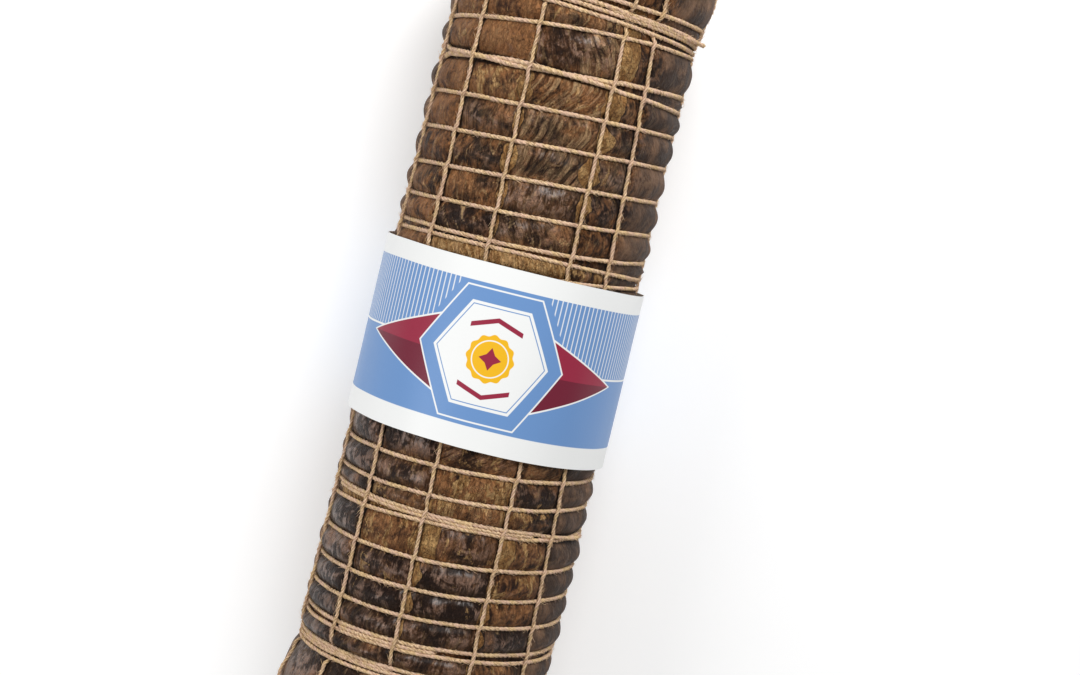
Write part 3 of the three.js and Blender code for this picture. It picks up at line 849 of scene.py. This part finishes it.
def string_course(string, seed):
    def on_end(end, k):
        turn = string_turn(string, end["shoulder"])
        (a, ra), (b, rb) = dome_form(end, k - 0.01, turn), dome_form(end, k + 0.01, turn)
        inwards = place(b, rb, turn) - place(a, ra, turn)
        t = math.radians(turn)
        side = Vector((end["sign"], 0, 0)).cross(Vector((0, -math.sin(t), math.cos(t))))
        out = side.cross(inwards).normalized()
        return place(*dome_form(end, k, turn), turn) + out * OVER_END * MM, out

    def on_side(along):
        turn = string_turn(string, along)
        t = math.radians(turn)
        crossings = [hoop_along(hoop, turn) for hoop in HOOPS]
        reach, soft = CROSSING["reach"], CROSSING["hitch_reach"]
        over = max(bump(along, at, reach) for at in crossings)
        height = STRING_HEIGHT + (OVER_HOOP - STRING_HEIGHT) * over
        under = under_bundle(along, turn)
        height += (UNDER_BUNDLE - height) * under
        lift = ease(along, *TOP["lift"]) + ease(-along, *TAIL["lift"])
        height += (OVER_END - height) * lift
        hitch = sum(bump(along, at + reach, soft) - bump(along, at - reach, soft) for at in crossings)
        sway = STRAY * noise.noise((along / 14, seed, 2)) + CROSSING["hitch"] * hitch * (1 - under)
        turn += math.degrees(sway / RADIUS)
        return place(along, form_radius(along, turn) + height, turn), Vector((0, -math.sin(t), math.cos(t)))

    over_end = [STRING_END * i / END_STEPS for i in range(1, END_STEPS + 1)]
    count = int((TOP["shoulder"] - TAIL["shoulder"]) / STRING_STEP) + 1
    side = [TAIL["shoulder"] + i * STRING_STEP for i in range(count)]
    return (
        [on_end(TAIL, k) for k in reversed(over_end)]
        + [on_side(along) for along in side]
        + [on_end(TOP, k) for k in over_end]
    )


for number, string in enumerate(STRINGS, 1):
    courses.append(string_course(string, number))
    name = f"lengthwise_{number:02d}"
    mesh = twine_mesh("twine_" + name, courses[-1], False, STRING_DIAMETER, STRING_SEED + number)
    add_piece(mesh.name, mesh, twine, "twine", name)

# Knots
# At both ends the strings are bound together by a few turns of twine, pulled tight into a flat knot with two
# short cut ends.
KNOT_TWINE = 2.3
WINDING = {"inner": 5.5, "outer": 9.2, "turns": 2.6, "height": 2.9, "steps": 120}
LUMP = {"size": 1.75, "height": 4.2, "thickness": 1.3, "steps": 90}
CUT_ENDS = [(-70, 22), (118, 15)]  # turn and length of each
CUT_END = {"height": 3.4, "droop": 1.1, "bend": 25, "steps": 40}
KNOT_SEED = 60


def on_dome(end, radius, turn, height):
    """A place on a rounded end, height mm out from the casing, and the way out."""
    share = min(radius / form_radius(end["shoulder"], turn), 1) ** (DOME_POWER / 2)
    along, _ = dome_form(end, math.acos(share) * 2 / math.pi, turn)
    return place(along + end["sign"] * height, radius, turn), Vector((end["sign"], 0, 0))


def winding_course(end):
    course = []
    for i in range(WINDING["steps"] + 1):
        share = i / WINDING["steps"]
        radius = WINDING["outer"] + (WINDING["inner"] - WINDING["outer"]) * share
        course.append(on_dome(end, radius, 360 * WINDING["turns"] * share, WINDING["height"]))
    return course


def lump_course(end):
    """A flattened trefoil, the shape of a tight overhand knot."""
    seat, out = on_dome(end, 0, 0, LUMP["height"])
    course = []
    for i in range(LUMP["steps"]):
        t = 2 * math.pi * i / LUMP["steps"]
        across = math.sin(t) + 2 * math.sin(2 * t)
        over = math.cos(t) - 2 * math.cos(2 * t)
        height = -LUMP["thickness"] * math.sin(3 * t) * end["sign"]
        course.append((seat + Vector((height, across * LUMP["size"], over * LUMP["size"])) * MM, out))
    return course


def cut_end_course(end, turn, length):
    course = []
    for i in range(CUT_END["steps"] + 1):
        gone = length * i / CUT_END["steps"]
        lower = ease(gone, 3, 12)
        lift = LUMP["height"] * (1 - lower) + CUT_END["height"] * lower
        lift -= CUT_END["droop"] * ease(gone, 12, 16)
        course.append(on_dome(end, 1 + gone, turn + CUT_END["bend"] * math.sin(gone / 9), lift))
    return course


for name, end in (("tail", TAIL), ("top", TOP)):
    parts = [("", lump_course(end), True), ("_winding", winding_course(end), False)]
    for number, (turn, length) in enumerate(CUT_ENDS, 1):
        parts.append((f"_cut_end_{number}", cut_end_course(end, turn, length), False))
    for seed, (part, course, closed) in enumerate(parts, KNOT_SEED):
        mesh = twine_mesh(f"twine_knot_{name}{part}", course, closed, KNOT_TWINE, seed + end["sign"] * 5)
        add_piece(mesh.name, mesh, twine, "twine", f"knot_{name}")

# Fuzz on the twine
# Short stiff fibres that stand off from the hemp everywhere. They are loose ends of its yarns.
FUZZ_SPACING = 1.4  # mm of twine for each fibre
FUZZ_LENGTH = (1, 3.4)
FUZZ_RADIUS = 0.11
FUZZ_SEAT = 0.9
FUZZ_LEAN = 1.3  # radians to either side
FUZZ_RISE = (0.1, 0.7)


def fuzz_mesh(name, course, rng):
    """The fibres on one course, as thin three-sided spikes."""
    bm = bmesh.new()
    yarn = bm.verts.layers.float_vector.new("yarn")
    length = sum((b[0] - a[0]).length for a, b in zip(course, course[1:])) / MM
    for hair in range(round(length / FUZZ_SPACING)):
        i = rng.randrange(1, len(course) - 1)
        at, out = course[i]
        run = (course[i + 1][0] - course[i - 1][0]).normalized()
        side = run.cross(out)
        lean = rng.uniform(-FUZZ_LEAN, FUZZ_LEAN)
        up = (out * math.cos(lean) + side * math.sin(lean)).normalized()
        way = (run * rng.choice((-1, 1)) + up * rng.uniform(*FUZZ_RISE)).normalized()
        long = rng.uniform(*FUZZ_LENGTH)
        middle = at + (up * FUZZ_SEAT + way * long / 2) * MM
        spin = way.to_track_quat("Z", "Y").to_matrix().to_4x4()
        made = bmesh.ops.create_cone(
            bm, cap_ends=True, segments=3, radius1=FUZZ_RADIUS * MM, radius2=FUZZ_RADIUS * MM / 3,
            depth=long * MM, matrix=Matrix.Translation(middle) @ spin,
        )
        for vert in made["verts"]:
            vert[yarn] = (1.2, hair, hair * 3)
    mesh = bpy.data.meshes.new(name)
    bm.to_mesh(mesh)
    bm.free()
    return mesh


rng = random.Random(11)
all_fuzz = bmesh.new()
for number, course in enumerate(courses, 1):
    all_fuzz.from_mesh(fuzz_mesh(f"fuzz_{number:02d}", course, rng))
fuzz = bpy.data.meshes.new("twine_fuzz")
all_fuzz.to_mesh(fuzz)
all_fuzz.free()
add_piece("twine_fuzz", fuzz, twine, "twine")

# Paper band
# A printed paper strip wrapped round the middle and glued where it laps over its own beginning. It rests on
# the lengthwise strings, so it stands a little off the casing.
BAND = {"radius": 67.3, "skew": -0.8, "seam": 125, "lap": 12, "thickness": 0.25, "lift": 0.2}
BAND_ROWS = 30
BAND_COLUMNS = 360
LAP_TURNS = (350, 359)  # over these it rises on to its own beginning
LAP_RISE = 0.35
BAND_WAVES = (0.25, 0.3)  # mm along the roll and out from it
MOTIF_TURN = -1.5


def band_vertex(row, column):
    gone = column / BAND_COLUMNS * (360 + BAND["lap"])
    turn = BAND["seam"] + gone
    t = math.radians(turn)
    across = (row / BAND_ROWS - 0.5) * 2 * BAND_HALF
    lapped = ease(gone, *LAP_TURNS) * LAP_RISE
    waves_along, waves_out = BAND_WAVES
    drift = waves_along * noise.noise((2 * math.cos(t), 2 * math.sin(t), across / 60))
    along = across + BAND["skew"] * math.sin(t) + drift
    waves = waves_out * noise.noise((4 * math.cos(t), 4 * math.sin(t), across / 40))
    radius = BAND["radius"] + lapped + waves
    at = place(along, radius, turn)
    at.z = max(at.z, BAND["lift"] * MM)
    printed = (math.radians((turn - MOTIF_TURN + 180) % 360 - 180) * BAND["radius"], across, 0)
    return at, printed


# The print, in mm from the middle of the motif.
STRIPES = {"spacing": 2.6, "blue": 1.0, "from": 2, "clear": 36}
MIDLINE = {"at": 1.2, "half": 0.5}
LOZENGE = {"at": -2, "edge": (74, 30), "red": (72, 29)}
BADGE = {"at": 0.6, "edge": 32.8, "blue": 32, "white": 25.5, "line": (23.6, 24.1)}
SUN = {"radius": 11.5, "waves": 12, "wave": 0.5, "ring": (8.6, 9.2), "star": (3.4, 5.6)}
STROKE = {"away": 19, "slope": 0.35, "reach": 13, "half": 1.2}
BORDERS = (-34, 35.3)


def band_finish():
    """Printed paper: white borders, a striped and a plain blue field, and a badge of plain shapes."""
    f = Finish("printed_paper", {"Specular IOR Level": 0.4})
    x, y, _ = f.mark("printed").parts()
    white = srgb(240, 241, 240)
    blue = srgb(107, 147, 200)
    red = srgb(150, 34, 62)
    deep_red = srgb(112, 24, 48)
    gold = srgb(240, 184, 24)
    crisp = 0.12

    def inside(value):
        return f.step(value, -crisp, crisp)

    def between(value, low, high):
        return inside(high - value) * inside(value - low)

    def lozenge(across, up, half_width, half_height):
        return inside(half_height - (abs(across) * (half_height / half_width) + abs(up)))

    middle = y - BADGE["at"]
    six = (abs(x) * 0.866 + abs(middle) * 0.5).most(abs(middle))
    spacing = STRIPES["spacing"]
    stripe = abs(x.maths("FRACT", x / spacing) - 0.5) * spacing - STRIPES["blue"]
    stripes = inside(stripe) * inside(y - STRIPES["from"]) * inside(six - STRIPES["clear"])
    field = f.mix(stripes * 0.85, blue, white)
    colour = f.mix(inside(MIDLINE["half"] - abs(y - MIDLINE["at"])), field, white)
    up = y - LOZENGE["at"]
    colour = f.mix(lozenge(x, up, *LOZENGE["edge"]), colour, white)
    wide = lozenge(x, up, *LOZENGE["red"])
    colour = f.mix(wide, colour, red)
    colour = f.mix(wide * inside(0 - up), colour, deep_red)
    colour = f.mix(inside(BADGE["edge"] - six), colour, white)
    colour = f.mix(inside(BADGE["blue"] - six), colour, blue)
    colour = f.mix(inside(BADGE["white"] - six), colour, white)
    colour = f.mix(between(six, *BADGE["line"]), colour, blue)
    far = f.node("VectorMath", {"operation": "LENGTH"}, {0: f.node("CombineXYZ", {}, {0: x, 1: y})}, 1)
    turned = x.maths("ARCTAN2", x, y) * SUN["waves"]
    colour = f.mix(inside(SUN["radius"] + x.maths("COSINE", turned) * SUN["wave"] - far), colour, gold)
    colour = f.mix(between(far, *SUN["ring"]), colour, white)
    narrow, broad = SUN["star"]
    colour = f.mix(lozenge(x, y, narrow, broad), colour, red)
    colour = f.mix(lozenge(x, y, broad, narrow), colour, red)
    bend = abs(x) * STROKE["slope"] - STROKE["away"]
    within = inside(STROKE["reach"] - abs(x))
    for from_stroke in (y - bend, y + bend):
        colour = f.mix(inside(STROKE["half"] - abs(from_stroke)) * within, colour, red)
    lowest, highest = BORDERS
    colour = f.mix(inside(y - highest).most(inside(lowest - y)), colour, white)

    grain = f.noise(f.mark("printed"), 0.9, 5.0, 0.6)
    f.use(colour, 0.42 + (grain - 0.5) * 0.15, grain, 0.05)
    return f


band = shape_grid("paper_label", BAND_ROWS, BAND_COLUMNS, band_vertex, ("printed",), BAND["thickness"])
add_piece("paper_label", band, band_finish(), "label", "paper_band")

# Floor and studio light
# A plain white table in a white room under two soft lamps: a bright one beyond the picture's upper right and
# a weaker one at its left.
bpy.context.scene.view_settings.view_transform = "Standard"
FLOOR_SIZE = 12
LIT = Vector((0, 0, 0.06))  # both lamps point there
LAMPS = [  # name, place, size and power
    ("key", (0.883, -0.17, 0.853), 0.6, 11.9),
    ("side", (-0.377, 0.808, 0.853), 0.6, 4.3),
]
ROOM = 0.36  # strength of the light from all sides


def add_light(name, at, size, power):
    lamp = bpy.data.lights.new(name, "AREA")
    lamp.shape = "DISK"
    lamp.size = size
    lamp.energy = power
    light = bpy.data.objects.new(name, lamp)
    light.location = at
    light.visible_camera = False
    light.rotation_mode = "QUATERNION"
    light.rotation_quaternion = (LIT - Vector(at)).to_track_quat("-Z", "Y")
    bpy.context.scene.collection.objects.link(light)


floor_shape = bmesh.new()
bmesh.ops.create_grid(floor_shape, x_segments=1, y_segments=1, size=FLOOR_SIZE / 2)
floor_mesh = bpy.data.meshes.new("floor")
floor_shape.to_mesh(floor_mesh)
floor_shape.free()
floor = bpy.data.objects.new("floor", floor_mesh)
bpy.context.scene.collection.objects.link(floor)
table = Finish("white_table", {
    "Base Color": (0.78, 0.78, 0.78, 1), "Roughness": 0.9, "Specular IOR Level": 0.1,
    "Emission Color": (1, 1, 1, 1), "Emission Strength": 0.32,
})
floor_mesh.materials.append(table.material)

world = bpy.data.worlds.new("studio")
world.use_nodes = True
world.node_tree.nodes["Background"].inputs["Color"].default_value = (1, 1, 1, 1)
world.node_tree.nodes["Background"].inputs["Strength"].default_value = ROOM
bpy.context.scene.world = world
for lamp in LAMPS:
    add_light(*lamp)
